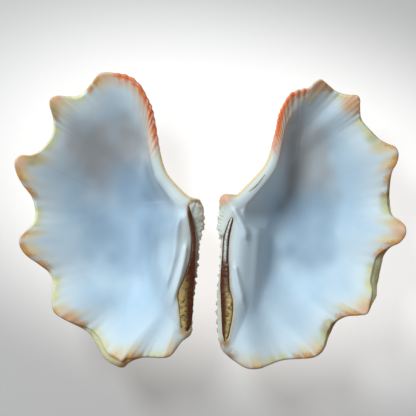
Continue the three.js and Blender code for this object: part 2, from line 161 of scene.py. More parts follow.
# ---- The two valves ----
# `folds` are the directions, in degrees, of the tongues and ribs in turn, seen from FOLD_ORIGIN.
# Teeth and ligament rows are a place and a width. Edge rows are the place of the outermost edge,
# then lip (outside that shows past the rim) and, if any, shelf (smooth band inside the rim) and
# its rise.
# `crenulated` are the first and last edge row of the toothed byssal margin, and its tooth pitch.
# Marks are places, each with its radius. The peach marks and most brown ones are stains; the grey
# and blue grey marks of the hollow, the olive marks, and the brown marks in the right valve's
# eastern valleys are painted shade. A crack is a row of places and widths.
LEFT_VALVE = {
    "name": "left",
    "side": -1,
    "beak": 7.45,
    "belly": (52, -27),
    "crenulated": (4.8, 10.6, 5.4),
    "marks": {
        "brown": ((3.5, 0.5, 3.5), (-0.5, -1.5, 2.5), (11, -84, 5), (6, -92, 4)),
        "olive_shade": ((101, 62, 7), (113, 26, 6)),
        "peach": ((63, 87, 6), (97, 69, 6), (120, 27, 7), (88, -79, 7)),
        "shade": ((68, 38, 24), (52, 38, 24), (80, 36, 16), (60, 18, 24)),
        "blue_shade": ((42, 8, 20), (50, 12, 18), (62, -16, 22), (34, -16, 22), (50, -32, 22)),
    },
    "cracks": ((-1, 0.3, 2), (2, 1.4, 2.6), (5, 0.4, 2.2), (6.9, -2, 1.4), (7.2, -6, 1.3),
               (6.4, -10, 0.8)),
    "teeth": (
        ((12.5, -7, 4), (14.5, -14, 6), (15.8, -24, 6.5), (16.4, -34, 6), (18.8, -45, 5),
         (22, -56, 4), (25.4, -65, 2.5)),
        ((8, -27, 3), (9.4, -37, 4), (12, -48, 4.4), (15.2, -59, 4.2), (18, -69, 2.6)),
    ),
    "ligament": ((7.3, -2, 1.4), (4.9, -14.4, 1.6), (3.6, -25, 1.8), (4.3, -38, 2.4),
                 (5.5, -46, 4.5), (7, -54, 6.5), (9, -62, 9), (8.8, -70, 8.4), (8.6, -80, 6.4),
                 (9, -87, 5)),
    "folds": (53, 44, 38, 32, 18, 5, -4, -19, -30, -41, -55, -63, -71),
    "edge": (
        (0, 2.5, 2, 11, 0), (8, 5.7, 1.2, 9, -0.5), (19.5, 17.5, 1, 7.5, -3.5),
        (23.5, 25, 1, 7, -4.5), (26, 34.5, 1, 6.5, -5), (28, 46.5, 1, 6, -5),
        (31, 63.5, 1, 4, -3.5), (34.5, 71.5, 1, 2.5, -2.5), (38.5, 79, 1, 1.5, -1.5),
        (43.5, 84, 1, 0.5, -0.5), (49.5, 87, 1), (58, 88.3, 1), (64, 88.5, 1), (68, 87, 1),
        (73, 81.5, 1.2), (79, 75.5, 1.8), (85.5, 72.8, 1.8), (95, 73, 1), (100.3, 70.8, 0.8),
        (101.2, 66, 1), (99.5, 57.5, 1.5), (100, 49, 1.5), (103.5, 41.5, 1.2), (108.5, 35.5, 1),
        (114, 32.5, 0.8), (120.5, 32.3, 0.8), (124.5, 28, 0.8), (123.8, 21, 0.8), (120, 12.5, 1),
        (114.5, 4.5, 1.3), (112.3, -5, 1.6), (113, -13, 1.5), (117.5, -19, 1), (121.3, -24, 0.8),
        (121, -30, 0.8), (116.5, -36.3, 1), (108.5, -42.5, 1.3), (102, -48.5, 1.8),
        (99.8, -55, 2), (100.3, -64, 1.5), (98.8, -73, 1), (94, -77.5, 0.8), (85.5, -82.5, 1.2),
        (77.5, -87, 2.5), (72, -93, 3.5), (65, -105, 5), (58.5, -109.8, 5.5), (51.5, -112, 5),
        (46, -108, 2.5), (38, -105.7, 1.2), (24, -105.5, 1), (18, -103.3, 1, 1, 0),
        (11.5, -95, 1, 4, 0), (5, -89.5, 1.2, 7, 0), (4.2, -80, 1.5, 13, 0),
        (3.5, -66.5, 1.8, 22, 0), (2.5, -53, 2.2, 22, 0), (0.5, -37, 3.5, 18, 0),
        (-0.7, -25, 5, 15, 0), (-3.3, -14, 8, 14, 0), (-3, -5, 7, 13, 0), (-1.8, 0, 4, 12, 0),
    ),
}

RIGHT_VALVE = {
    "name": "right",
    "side": 1,
    "beak": 6.95,
    "belly": (52, -25),
    "crenulated": (7.2, 12.6, 4.1),
    "marks": {
        "brown": ((2, -96, 4), (6, -104, 5), (77, -86, 7), (113, 6, 5)),
        "olive_shade": ((104, 46, 7), (115, 0, 7), (108, -48, 9), (74, -88, 8)),
        "peach": ((2, 3.5, 6.5), (1, 3, 5), (88, 68, 7), (120, -18, 6), (97, -73, 6), (66, 80, 5)),
        "shade": ((60, 44, 18), (62, 28, 19), (66, 12, 18)),
        "blue_shade": ((66, -2, 17), (60, -11, 18), (60, -13, 14), (50, -33, 8), (62, -33, 14),
                 (66, -34, 14)),
    },
    "cracks": ((29.5, 19, 0.4), (24, 12, 0.9), (19, 8, 0.4)),
    "teeth": (
        ((7.5, -2, 4), (11.6, -10.3, 5), (16, -19, 5.4), (17.5, -27, 4)),
        ((8.8, -42, 3), (10.5, -50, 4), (13, -60, 4.6), (15.6, -71, 3)),
    ),
    "ligament": ((7.9, -9.6, 1.4), (6, -15, 2), (3.8, -24, 3), (3, -36, 3.2), (2.8, -46, 4.4),
                 (2.8, -57.5, 5.2), (4, -66.4, 7), (4.2, -75.4, 6.4), (3.6, -85, 4.4),
                 (3, -94, 1.8)),
    "folds": (52, 44.5, 40.5, 35, 21.5, 9.5, -1, -14, -28.5, -37.5, -49.5, -58.5, -72),
    "edge": (
        (-1.4, 2, 3.5, 12, 0), (0.5, 5.5, 2, 11, 0), (4.5, 6.3, 1.2, 10, 0),
        (10, 5.8, 1, 9, -0.5), (18, 13.2, 1, 8, -3), (28, 24, 1, 7, -4.5), (32, 31.5, 1, 6.5, -5),
        (34.3, 39.7, 1, 6, -5), (37, 50, 1, 5.5, -4.5), (39, 60.3, 1, 5, -3.5),
        (42, 67.3, 1, 4.5, -2.5), (46.5, 74, 1, 4, -1), (52.5, 76.8, 1, 3.5, 0),
        (59, 78.2, 1, 2.5, 0), (63, 81.8, 1, 1, 0), (67, 83.6, 0.8), (71.5, 81, 1),
        (78, 76.5, 1.2), (85, 74, 1.2), (91.5, 73.2, 0.8), (94, 70.8, 0.8), (94.5, 65, 1),
        (96, 57.5, 1.5), (101.2, 50.8, 1.5), (107.2, 44, 1), (112.3, 40.6, 0.8),
        (117.5, 38.3, 0.8), (120, 33.5, 0.8), (119.2, 27.5, 0.8), (116.2, 20.5, 1.2),
        (115.3, 10, 2), (115.6, -3, 2), (117, -8.5, 1.5), (121.3, -12, 0.8), (124.7, -16, 0.8),
        (124.7, -22, 0.8), (121, -27, 0.8), (114.8, -30.7, 1.5), (110.8, -37, 4), (109.5, -45, 6),
        (107.2, -54.5, 6), (106, -63, 5), (102.3, -69, 2.5), (99, -75, 0.8), (94, -76.4, 0.8),
        (85.5, -77.5, 1), (79, -81.5, 1.5), (74.7, -88.7, 2.5), (69.5, -100, 2), (63, -104.7, 1),
        (54, -106.2, 1), (42, -107.5, 1), (33.5, -110, 1), (25, -112.6, 1),
        (16.5, -112.2, 1, 1, 0), (8, -107.5, 1.2, 4, 0), (2, -102.5, 1.5, 7, 0),
        (-0.8, -98, 1.5, 9, 0), (-2.2, -88, 1.2, 13, 0), (-2.7, -70, 1.2, 21, 0),
        (-2.3, -58, 1.4, 20, 0), (-0.2, -38, 1.8, 18, 0), (-0.3, -25, 3, 18, 0),
        (-2.3, -17, 5, 17, 0), (-1.8, -9, 5, 14, 0), (-1.2, -4, 4, 13, 0),
    ),
}


# ---- Settings that a user would change ----

def measure(name, description, millimetres):
    return FloatProperty(
        name=name, description=description, default=millimetres * MM, unit="LENGTH")


def colour(name, description, default):
    return FloatVectorProperty(
        name=name, description=description, default=default, subtype="COLOR")


class ClamShellSizes(bpy.types.PropertyGroup):
    fold_height: measure("Fold Height", "Height of the inside folds at the rim", 3)
    rib_height: measure("Rib Height", "Height of the broad ribs of the outside", 2.6)
    tooth_height: measure("Hinge Tooth Height", "Height of the hinge teeth above their plate", 2.2)
    scale_height: measure("Scale Height", "Height of the scales that stand on the ribs", 1.5)
    crenulation: measure("Crenulation", "Height of the small teeth of the byssal margin", 0.5)
    growth_lines: IntProperty(
        name="Growth Lines", description="How many growth steps run from beak to margin",
        default=24, min=4, max=60)


class ClamShellColours(bpy.types.PropertyGroup):
    porcelain: colour("Porcelain", "White of the inside", (0.78, 0.81, 0.83))
    lavender: colour("Lavender", "Cool clouds in the white", (0.56, 0.67, 0.77))
    cream: colour("Cream", "Warm white near the rim", (0.77, 0.74, 0.64))
    tip: colour("Tip", "Tan of the tongue tips", (0.86, 0.64, 0.36))
    rim: colour("Rim", "Orange line around the tongues", (0.72, 0.31, 0.075))
    # Partly the tongues' own orange brown, partly painted shade of their lower flanks, which turn
    # from the light.
    lower_rim_and_shade: colour(
        "Lower Rim", "Orange brown on the outside of the tongues' lower flanks", (0.50, 0.21, 0.05))
    shade: colour(
        "Deep Shade", "Dull grey of the deep part under the byssal side", (0.47, 0.38, 0.33))
    # Painted shade: blue grey laid where the middle of the hollow lies in shade.
    blue_shade: colour("Dusk", "Blue grey of the hollow's middle", (0.33, 0.41, 0.50))
    peach: colour("Peach", "Peach stains on tips and beak", (0.86, 0.45, 0.25))
    # Painted shade in olive, where flanks near the rim turn from the light.
    olive_shade: colour("Olive", "Olive stains near the margin", (0.42, 0.38, 0.16))
    lip: colour("Lip", "Pale yellow of the outside near the margin", (0.90, 0.78, 0.44))
    valley: colour("Valley", "Yellow of the valleys between the tongues", (0.80, 0.70, 0.36))
    byssal: colour("Byssal Margin", "Red orange of the toothed margin", (0.90, 0.20, 0.06))
    outside: colour("Outside", "Chalky grey white of the outside", (0.86, 0.82, 0.72))
    crust: colour("Crust", "Olive brown in the recesses of the outside", (0.38, 0.31, 0.15))
    stain: colour("Hinge Stain", "Brown beside the ligament", (0.40, 0.17, 0.04))
    ligament: colour("Ligament", "Dark brown of the dried ligament", (0.10, 0.022, 0.005))
    fibre: colour("Ligament Fibre", "Golden tan where the ligament is torn", (0.66, 0.44, 0.16))


class ClamShellStage(bpy.types.PropertyGroup):
    camera_height: measure("Camera Height", "From the rims up to the camera", 900)
    picture_width: measure("Picture Width", "Width of the view at the rims", 285)
    key_power: FloatProperty(
        name="Key Power", description="Power of the large soft light", default=15.2, unit="POWER")
    key_colour: colour("Key Colour", "Cool colour of the large soft light", (0.72, 0.90, 1.0))
    fill: colour("Fill", "Dim light from all around", (0.15, 0.14, 0.13))
    floor: colour("Floor", "Pale floor", (0.30, 0.26, 0.24))
    floor_glow: FloatProperty(
        name="Floor Glow", description="Light that the floor's lit middle gives by itself",
        default=0.79)


# ---- Small maths on arrays ----

def mix(a, b, t):
    return a + (b - a) * t


def smooth(low, high, value):
    t = np.clip((value - low) / (high - low), 0, 1)
    return t * t * (3 - 2 * t)


def closed_curve(rows, places):
    """A closed Catmull-Rom curve through the rows, at places measured in rows."""
    count = len(rows)
    first = np.floor(places).astype(int)
    t = (places - first)[:, None]
    a, b, c, d = (rows[(first + step) % count] for step in (-1, 0, 1, 2))
    bend = 2 * a - 5 * b + 4 * c - d
    twist = 3 * b - a - 3 * c + d
    return 0.5 * (2 * b + t * (c - a + t * (bend + t * twist)))


def open_curve(rows, places):
    """The same curve through an open row of places."""
    padded = np.vstack([2 * rows[0] - rows[1], rows, 2 * rows[-1] - rows[-2]])
    return closed_curve(padded, places + 1)


def evened(values, steps, reach):
    """Evens out a value that runs around the edge; steps are the lengths between samples."""
    along = np.cumsum(steps)
    gap = np.abs(along[:, None] - along)
    gap = np.minimum(gap, along[-1] - gap)
    weight = np.where(gap < 3 * reach, np.exp(-0.5 * (gap / reach) ** 2), 0) * steps
    return (weight * values).sum(1) / weight.sum(1)


def soft_lower(a, b, rounding):
    """The lower of two heights, with the crease between them rounded."""
    overlap = np.maximum(rounding - np.abs(a - b), 0) / rounding
    return np.minimum(a, b) - overlap ** 2 * rounding / 4


def bowl(reach, flare):
    return (1 + flare) * reach ** 2 - flare * reach ** 4


def fold_place(folds, x, y):
    """Place among the folds, counted in half waves: even on tongues, odd on ribs."""
    angle = np.degrees(np.arctan2(y - FOLD_ORIGIN[1], x - FOLD_ORIGIN[0]))
    return np.interp(-angle, [-fold for fold in folds], range(len(folds))), angle


def fold_at(folds, x, y):
    """+1 on a tongue between two ribs, -1 on a rib, easing to 0 past the last folds."""
    place, angle = fold_place(folds, x, y)
    before, after = FOLD_EASE
    ease = (1 - smooth(0, before, angle - folds[0])) * (1 - smooth(0, after, folds[-1] - angle))
    return np.cos(math.pi * place) * ease


def fold_room(folds, x, y):
    """How much room a fold has: 1 for a broad one, less where the folds crowd."""
    place, _ = fold_place(folds, x, y)
    middles = np.arange(len(folds) - 1) + 0.5
    return np.interp(place, middles, np.clip(-np.diff(folds) / BROAD_FOLD, 0.3, 1))


def lumps(points, size, seed):
    """Smooth value noise from 0 to 1 with lumps of the given size."""
    cells = np.random.default_rng(seed).random((NOISE_CELLS,) * 3)
    place = points / size + 0.37
    low = np.floor(place).astype(int)
    t = place - low
    t = t * t * (3 - 2 * t)
    total = 0
    for corner in np.ndindex(2, 2, 2):
        at = (low + corner) % NOISE_CELLS
        share = np.prod(np.where(corner, t, 1 - t), axis=-1)
        total = total + share * cells[at[..., 0], at[..., 1], at[..., 2]]
    return total


def along_rows(rows, x, y):
    """Nearest place on a bar of rows: signed distance across, width there, share of its length."""
    rows = open_curve(np.array(rows, float), np.linspace(0, len(rows) - 1.001, 8 * len(rows)))
    best = np.full(x.shape, np.inf)
    across, width, share = np.zeros((3, *x.shape))
    for i, (start, end) in enumerate(zip(rows[:-1], rows[1:])):
        way = end[:2] - start[:2]
        gap_x = x - start[0]
        gap_y = y - start[1]
        t = np.clip((gap_x * way[0] + gap_y * way[1]) / np.hypot(*way) ** 2, 0, 1)
        away = np.hypot(gap_x - t * way[0], gap_y - t * way[1])
        left_of = gap_x * way[1] < gap_y * way[0]
        nearer = away < best
        best = np.where(nearer, away, best)
        across = np.where(nearer, np.where(left_of, -away, away), across)
        width = np.where(nearer, mix(start[2], end[2], t), width)
        share = np.where(nearer, (i + t) / (len(rows) - 1), share)
    return across, width, share


# ---- Shape of one valve ----

def along_way(centre, way, radius):
    """Places at distances from a centre, on its ways out."""
    return centre[0] + way[:, :1] * radius, centre[1] + way[:, 1:] * radius


class Valve:
    """The surfaces of one valve, as functions of the way out from a centre."""

    def __init__(self, data, sizes):
        self.data = data
        self.belly = data["belly"]
        self.folds = data["folds"]
        self.fold_height = sizes.fold_height / MM
        self.rib_height = sizes.rib_height / MM
        self.tooth_height = sizes.tooth_height / MM
        self.scale_height = sizes.scale_height / MM
        self.crenulation = sizes.crenulation / MM
        self.growth_lines = sizes.growth_lines
        self.measure_edge()

    def measure_edge(self):
        """Samples the edge, closer together along the toothed margin."""
        rows = np.array([(*row, 0, 0)[:5] for row in self.data["edge"]], float)
        places = np.arange(0, len(rows), 1 / ROW_STEPS)
        fine = closed_curve(rows, places)
        steps = np.hypot(*(np.roll(fine[:, :2], -1, 0) - fine[:, :2]).T)
        ends = np.append(places, len(rows))
        first, last, pitch = self.data["crenulated"]
        crenulated = smooth(first - 1, first + 0.7, places) * smooth(last + 0.8, last, places)
        density = steps * (1 + MARGIN_CROWDING * crenulated)
        reach = np.append(0, np.cumsum(density))
        wanted = np.linspace(0, reach[-1], AROUND, endpoint=False)
        chosen = np.interp(wanted, reach, ends)
        self.edge = closed_curve(rows, chosen)
        length = np.interp(chosen, ends, np.append(0, np.cumsum(steps)))
        self.margin = np.interp(chosen, places, crenulated)

        # Uneven spacing and height, as teeth grow.
        self.tooth_wave = np.cos(2 * math.pi * length / pitch + 1.6 * np.sin(length / 6))
        self.tooth_wave *= 0.7 + 0.3 * np.sin(length / 3.7)

        self.steps = np.diff(np.append(length, steps.sum()))
        self.tangent = np.roll(self.edge[:, :2], -1, 0) - np.roll(self.edge[:, :2], 1, 0)
        self.tangent /= np.hypot(*self.tangent.T)[:, None]
        outward = self.tangent[:, ::-1] * (-1, 1)
        bulge = TOOTH_BULGE * self.crenulation * self.tooth_wave * self.margin
        self.edge[:, :2] += bulge[:, None] * outward

    def to_edge(self, x, y):
        """Distance from places to the outermost edge, and its lip, shelf and rise nearby."""
        distance = np.empty(x.shape)
        nearby = np.empty((3, *x.shape))
        for column in range(x.shape[1]):
            gap_x = x[:, column, None] - self.edge[:, 0]
            gap_y = y[:, column, None] - self.edge[:, 1]
            square = gap_x ** 2 + gap_y ** 2
            at = square.argmin(1)
            pick = (np.arange(len(at)), at)
            ahead = gap_x[pick] * self.tangent[at, 0] + gap_y[pick] * self.tangent[at, 1]
            slide = np.clip(ahead, -self.steps[at] / 2, self.steps[at] / 2)
            distance[:, column] = np.sqrt(square[pick] - 2 * slide * ahead + slide ** 2)
            farther = np.sqrt(square) - np.sqrt(square[pick])[:, None]
            weight = np.exp(-farther / EDGE_SOFTNESS) * self.steps
            nearby[:, :, column] = (weight @ self.edge[:, 2:] / weight.sum(1)[:, None]).T
        return distance, *nearby

    def rays(self, centre):
        """Ways out from a centre to the edge, with the distances that the surfaces need."""
        x, y, lip, shelf, _ = self.edge.T
        way = np.stack([x - centre[0], y - centre[1]], 1)
        outer = np.hypot(*way.T)
        way /= outer[:, None]
        facing = np.abs(way[:, 0] * self.tangent[:, 1] - way[:, 1] * self.tangent[:, 0])
        rim = outer - lip / np.maximum(facing, LEAST_FACING)
        plate = smooth(*SHELF_WIDTHS, shelf)
        sharp = smooth(SHARP_FROM, SHARP_TO, y)
        walls = evened(plate * sharp, self.steps, SCALLOP_SMOOTHING)
        radius = rim[:, None] * np.linspace(SEARCH_FROM, 1, SHELF_SEARCH)
        distance, lips, shelves, _ = self.to_edge(*along_way(centre, way, radius))
        open_cavity = distance - lips >= shelves * smooth(*SHELF_WIDTHS, shelves)
        last = SHELF_SEARCH - 1 - open_cavity[:, ::-1].argmax(1)
        inner = radius[np.arange(AROUND), last]
        turns = np.arctan2(way[:, 1], way[:, 0])
        turns = np.abs(np.angle(np.exp(1j * (np.roll(turns, -1) - turns)))) * MEAN_REACH
        measures = {
            "outer": outer, "rim": rim, "lip": lip,
            "inside_reach": evened(inner, turns, CAVITY_SMOOTHING) * mix(1, WALL_ROOM, walls),
            "outside_reach": evened(outer, self.steps, SCALLOP_SMOOTHING),
            "steepness": WALL_STEEPNESS * walls,
            "fullness": mix(BELLY_FULLNESS, BELLY_WALL, walls),
            "plate": evened(plate, self.steps, PLATE_SMOOTHING),
            "blend": mix(SHELF_BLEND, SHARP_BLEND, sharp),
            "wall_slope": mix(SOFT_WALL, SHARP_WALL, sharp),
        }
        return {"way": way} | {name: values[:, None] for name, values in measures.items()}

    def inside_height(self, rays, radius):
        """Heights of the inside at a distance from its middle, and the distances to the rim."""
        x, y = along_way(CAVITY_CENTRE, rays["way"], radius)
        near = smooth(0, 0.6, radius / rays["inside_reach"])
        reach = radius / mix(MEAN_REACH, rays["inside_reach"], near)
        flare = near * (CAVITY_FLARE - rays["steepness"])
        cavity = -CAVITY_DEPTH * (1 - bowl(reach, flare))
        growing = (radius / rays["rim"]) ** FOLD_GROWTH
        fold = self.fold_height * fold_at(self.folds, x, y) * growing
        fold *= fold_room(self.folds, x, y)
        distance, lip, shelf, rise = self.to_edge(x, y)
        shelf = np.maximum(shelf, 1)
        to_rim = distance - lip
        across = np.clip(2 * to_rim / shelf - 1, -1, 1)
        crown = rise + SHELF_ROLL * shelf * (1 - across ** 2)
        past_shelf = to_rim - shelf
        wall = rise - rays["wall_slope"] * past_shelf
        walled = -soft_lower(-cavity, -wall, WALL_BLEND)
        walled = mix(cavity, walled, smooth(WALL_SPAN, 0.2 * WALL_SPAN, past_shelf))
        shelved = soft_lower(walled, crown, rays["blend"])
        return mix(cavity + fold, shelved, rays["plate"]), to_rim

    def outside_height(self, rays, share, edge_height):
        radius = share * rays["outer"]
        x, y = along_way(self.belly, rays["way"], radius)
        near = smooth(0, 0.35, share)
        flare = -rays["fullness"] * near

        def profile(reach):
            return -BELLY_DEPTH * (1 - bowl(reach, flare))

        shell = profile(radius / mix(MEAN_REACH, rays["outside_reach"], near))
        to_edge = (edge_height - profile(rays["outer"] / rays["outside_reach"])) * share ** 8
        from_beak = np.hypot(x - FOLD_ORIGIN[0], y - FOLD_ORIGIN[1])
        strength = smooth(*RIBS_GROW, from_beak) * (1 - share ** 12)
        ribs = self.rib_height * fold_at(self.folds, x, y) * strength
        return shell + to_edge + ribs

    def build_rings(self):
        """Rings of points from the middle of the inside over the rim to the belly."""
        inside = self.rays(CAVITY_CENTRE)
        outside = self.rays(self.belly)
        coarse = np.linspace(0, FINE_FROM, INSIDE_COARSE + 1)[1:-1]
        shares = np.append(coarse, np.linspace(FINE_FROM, 1, INSIDE_FINE + 1))
        radius = shares * inside["rim"]
        heights, to_rim = self.inside_height(inside, radius)
        x, y = along_way(CAVITY_CENTRE, inside["way"], radius)
        groove = self.groove_depth(x, y)
        heights = heights + self.inside_detail(x, y, to_rim, inside["plate"]) - groove

        t = np.linspace(0, 1, RIM_RINGS + 1)[1:]
        lip = inside["lip"]
        step = RIM_THICKNESS * smooth(0, 1, t * np.maximum(lip, 1)) ** 0.7
        slope = LIP_SLOPE * lip * t ** 2
        lip_radius = inside["rim"] + (inside["outer"] - inside["rim"]) * t
        lip_heights = heights[:, -1:] - step - slope
        lip_x, lip_y = along_way(CAVITY_CENTRE, inside["way"], lip_radius)

        out_shares = np.linspace(1, 0, OUTSIDE_RINGS + 2)[1:-1] ** 0.85
        edge_height = lip_heights[:, -1:]
        out_heights = self.outside_height(outside, out_shares, edge_height)
        out_radius = out_shares * outside["outer"]
        out_x, out_y = along_way(self.belly, outside["way"], out_radius)

        top = self.inside_height(inside, np.zeros((AROUND, 1)))[0][0, 0]
        bottom = self.outside_height(outside, np.zeros((1, 1)), edge_height)[0, 0]
        self.x = np.hstack([x, lip_x, out_x])
        self.y = np.hstack([y, lip_y, out_y])
        heights = np.hstack([heights, lip_heights, out_heights])
        self.points = np.stack([self.x, self.y, heights], -1)
        self.poles = np.array([(*CAVITY_CENTRE, top), (*self.belly, bottom)])
        shown = np.linspace(0.2, 1, RIM_RINGS) * smooth(0.8, 2.2, lip)
        self.outside_mask = np.hstack([np.zeros(x.shape), shown, np.ones(out_x.shape)])
        past_rim = np.zeros((AROUND, RIM_RINGS + OUTSIDE_RINGS))
        self.rim_distance = np.hstack([to_rim, past_rim])
        self.groove = np.hstack([groove, past_rim])
        past_edge = (1 - out_shares) * outside["outer"]
        self.plate = np.hstack([
            np.broadcast_to(inside["plate"], (AROUND, shares.size + RIM_RINGS)),
            np.broadcast_to(outside["plate"], out_x.shape)])
        self.past_edge = np.hstack([np.zeros(x.shape), -lip * (1 - t), past_edge])

    def groove_depth(self, x, y):
        across, width, share = along_rows(self.data["ligament"], x, y)
        groove = smooth(0.5 * width + GROOVE_SHOULDER, 0.5 * width - 0.3, np.abs(across))
        return GROOVE_DEPTH * groove * smooth(0, 0.08, share) * smooth(1, 0.95, share)

    def inside_detail(self, x, y, to_rim, plates):
        """Hinge teeth, pleats and the toothed margin, as heights."""
        detail = np.zeros(x.shape)
        for rows in self.data["teeth"]:
            across, width, share = along_rows(rows, x, y)
            ends = smooth(0, 0.12, share) * smooth(1, 0.75, share)
            ridge = np.exp(-(across / (0.46 * width)) ** 2)
            detail += self.tooth_height * ridge * mix(0.2, 1, ends) * mix(0.7, 1.15, width / 6)
        place, _ = fold_place(self.folds, x, y)
        pleats = np.cos(PLEAT_SPEED * math.pi * place) * np.exp(-to_rim / PLEAT_REACH)
        pleats *= 1 - plates
        detail += 0.5 * self.crenulation * pleats * (1 - self.margin[:, None])
        fade = np.exp(-to_rim / TOOTH_REACH) * self.margin[:, None]
        detail += self.crenulation * self.tooth_wave[:, None] * fade
        return detail

    def growth_at(self, x, y):
        """How grown the shell was at a place of its outside: 0 at the beak, 1 at the margin."""
        beak = np.array(GROWTH_START)
        reach = self.edge[:, :2] - beak
        angle = np.degrees(np.arctan2(reach[:, 1], reach[:, 0]))
        far = np.hypot(*reach.T)
        bins = np.arange(-105, 96, 1.5)
        farthest = np.array([far[np.abs(angle - at) < 1.6].max(initial=0) for at in bins])
        known = farthest > 60
        farthest = np.interp(bins, bins[known], farthest[known])
        kernel = np.exp(-0.5 * (np.arange(-4, 5) / 1.3) ** 2)
        padded = np.pad(farthest, 4, mode="edge")
        farthest = np.convolve(padded, kernel / kernel.sum(), mode="valid")
        here = np.degrees(np.arctan2(y - beak[1], x - beak[0]))
        here = np.where(here > 120, here - 360, here)
        return np.hypot(x - beak[0], y - beak[1]) / np.interp(here, bins, farthest)

    def in_part_frame(self, places):
        return (places + (self.data["beak"], BEAK_ALONG, 0)) * (self.data["side"], 1, 1)


def skin_faces(around, rings):
    """Faces of a closed grid: pole 0, rings ring by ring, last pole."""
    i = np.arange(around)
    after = (i + 1) % around
    here = 1 + around * np.arange(rings - 1)[:, None]
    there = here + around
    quads = np.stack([here + i, here + after, there + after, there + i], -1).reshape(-1, 4)
    last = 1 + rings * around
    caps = np.vstack([
        np.stack([np.zeros_like(i), 1 + after, 1 + i], 1),
        np.stack([np.full_like(i, last), last - around + i, last - around + after], 1),
    ])
    return quads, caps


def make_mesh(name, vertices, quads, caps, flip):
    if flip:
        quads = quads[:, ::-1]
        caps = caps[:, ::-1]
    mesh = bpy.data.meshes.new(name)
    mesh.from_pydata(vertices.tolist(), [], quads.tolist() + caps.tolist())
    mesh.polygons.foreach_set("use_smooth", np.ones(len(mesh.polygons), bool))
    mesh.update()
    piece = bpy.data.objects.new(name, mesh)
    bpy.context.scene.collection.objects.link(piece)
    return piece


def vertex_normals(mesh):
    normals = np.zeros(3 * len(mesh.vertices), np.float32)
    mesh.vertices.foreach_get("normal", normals)
    return normals.reshape(-1, 3)


def give(mesh, name, values):
    """Stores one number per vertex under a name, for the material to read."""
    layer = mesh.attributes.new(name, "FLOAT", "POINT")
    layer.data.foreach_set("value", np.ascontiguousarray(values, np.float32))


def spread(grid):
    """A value for each vertex of a closed grid: a pole takes the mean of its ring."""
    rings = np.asarray(grid).T
    return np.concatenate([[rings[0].mean()], rings.reshape(-1), [rings[-1].mean()]])


def outside_relief(valve, patch):
    """Growth steps, scales and riblets of the outside: heights, and what the material reads."""
    wobble = lumps(valve.points, size=18, seed=3) - 0.5
    rough = lumps(valve.points, size=2.4, seed=5) - 0.5
    growth = valve.growth_at(valve.x, valve.y)
    place, _ = fold_place(valve.folds, valve.x, valve.y)
    fold = fold_at(valve.folds, valve.x, valve.y)
    lines = valve.growth_lines * growth ** 0.92 + 0.9 * wobble
    phase = lines - np.floor(lines)
    rising = (phase / STEP_CREST) ** 1.6
    step = np.where(phase < STEP_CREST, rising, (1 - phase) / (1 - STEP_CREST))
    rib = smooth(-0.1, 0.9, -fold) * smooth(0.12, 0.35, growth)
    riblet = 0.5 + 0.5 * np.cos(math.pi * place * RIBLETS)
    hinge_side = smooth(12, 2, valve.x) * smooth(6, -6, valve.y)
    scaly = np.maximum(rib * mix(0.45, 1, riblet), 0.75 * hinge_side)
    raised = (STEP_HEIGHT + scaly * valve.scale_height * mix(0.5, 1.2, patch)) * step
    raised += RIBLET_HEIGHT * (riblet - 0.5) * smooth(0.2, 0.5, growth)
    raised += ROUGHNESS * rough + DENT_DEPTH * (patch - 0.5)
    scute = 0.5 + 0.5 * np.sin(valve.y + 4 * wobble)
    scute *= hinge_side * mix(0.2, 1.5, patch)
    raised += valve.scale_height * scute * smooth(-2, 1, valve.past_edge)
    below = np.maximum(smooth(0, 2.5, valve.past_edge), 0.6 * hinge_side)
    show = smooth(0.5, 1, valve.outside_mask) * mix(0.35, 1, below)
    return raised * show, {
        "fold": fold, "flank": np.sin(math.pi * place), "riblet": riblet, "growth": growth,
        "hinge_side": hinge_side, "step": step,
    }


def stain_and_shade_marks(valve, patch):
    """How strongly each mark, stain or painted shade, the crack and the ligament's stain show at
    each point.
    """
    # Holds the stains and also the marks of painted shade.
    stains = {}
    for mark, places in valve.data["marks"].items():
        stains[mark] = np.zeros(valve.x.shape)
        for x, y, radius in places:
            away = np.hypot(valve.x - x, valve.y - y) / radius
            stains[mark] += (1 - stains[mark]) * smooth(1.5, 0, away + 0.5 * (patch - 0.5))
    across, width, _ = along_rows(valve.data["cracks"], valve.x, valve.y)
    stains["crack"] = smooth(0.5 * width + 0.3, 0.3 * width, np.abs(across))
    across, width, share = along_rows(valve.data["ligament"], valve.x, valve.y)
    stains["beside_ligament"] = np.abs(across) - 0.5 * width
    stains["down_ligament"] = share
    return stains


def valve_piece(data, sizes, material):
    valve = Valve(data, sizes)
    valve.build_rings()
    rings = valve.points.transpose(1, 0, 2).reshape(-1, 3)
    vertices = valve.in_part_frame(np.vstack([valve.poles[:1], rings, valve.poles[1:]]))
    quads, caps = skin_faces(AROUND, valve.x.shape[1])
    piece = make_mesh(f"{data['name']}_shell", vertices * MM, quads, caps, data["side"] < 0)
    patch = lumps(valve.points, size=9, seed=8)
    relief, values = outside_relief(valve, patch)
    vertices = vertices + spread(relief)[:, None] * vertex_normals(piece.data)

    low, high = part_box(f"{data['name']}_valve")
    vertices[:, 2] -= vertices[:, 2].min() + WORN_DEPTH
    middle = (vertices.min(0) + vertices.max(0)) / 2
    wanted = (low + high) / 2 / MM
    vertices[:, :2] += np.array(wanted)[:2] - middle[:2]
    vertices[:, 2] = np.maximum(vertices[:, 2], 0)
    piece.data.vertices.foreach_set("co", (vertices * MM).ravel())
    piece.data.update()

    values.update(stain_and_shade_marks(valve, patch))
    values.update({
        "outside": valve.outside_mask, "rim_distance": valve.rim_distance,
        "plate": valve.plate, "groove": valve.groove,
        "margin": np.broadcast_to(valve.margin[:, None], valve.x.shape),
        "margin_wave": np.broadcast_to(valve.tooth_wave[:, None], valve.x.shape),
    })
    for name, grid in values.items():
        give(piece.data, name, spread(grid))
    piece.data.materials.append(material)
    return piece


# ---- Materials ----

